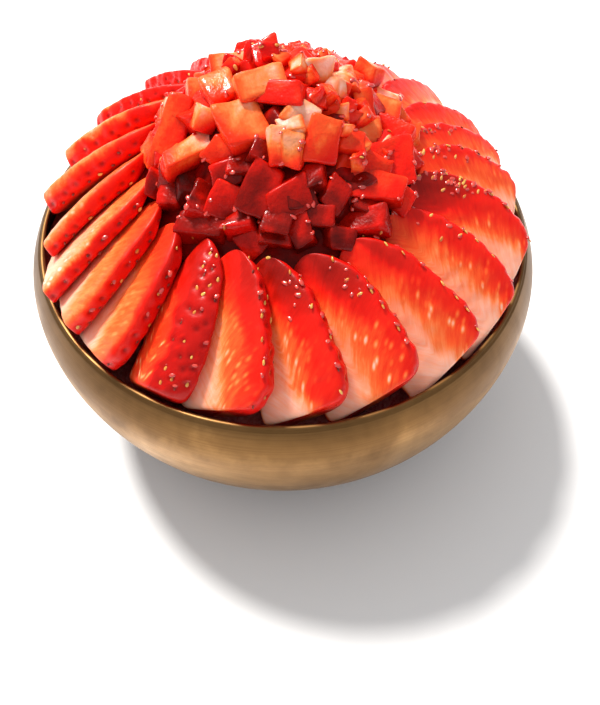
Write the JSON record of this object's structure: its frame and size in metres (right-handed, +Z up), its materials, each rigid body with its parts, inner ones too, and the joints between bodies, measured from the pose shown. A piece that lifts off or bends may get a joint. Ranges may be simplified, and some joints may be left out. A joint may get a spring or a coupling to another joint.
{
  "type": "shaved ice dessert in a bowl",
  "caption": "Shaved ice in a round metal bowl, fanned over with strawberry slices and topped with a heap of diced strawberry in syrup.",
  "frame": {"origin": "centre of the bowl's foot ring, on the surface it stands on", "axes": "+Z up along the bowl's axis, -Y towards the side that the picture shows"},
  "size_m": [0.17, 0.17, 0.1384],
  "materials": {
    "brass": "satin",
    "ice": "matt, crumbly",
    "strawberry": "moist",
    "strawberry_diced": "wet with syrup"
  },
  "bodies": {
    "root": {"bowl": "brass", "ice": "ice", "slice_01": "strawberry", "slice_02": "strawberry", "slice_03": "strawberry", "slice_04": "strawberry", "slice_05": "strawberry", "slice_06": "strawberry", "slice_07": "strawberry", "slice_08": "strawberry", "slice_09": "strawberry", "slice_10": "strawberry", "slice_11": "strawberry", "slice_12": "strawberry", "slice_13": "strawberry", "slice_14": "strawberry", "slice_15": "strawberry", "slice_16": "strawberry", "slice_17": "strawberry", "slice_18": "strawberry", "slice_19": "strawberry", "slice_20": "strawberry", "slice_21": "strawberry", "slice_22": "strawberry", "slice_23": "strawberry", "slice_24": "strawberry", "heap": "strawberry_diced"}
  },
  "joints": []
}
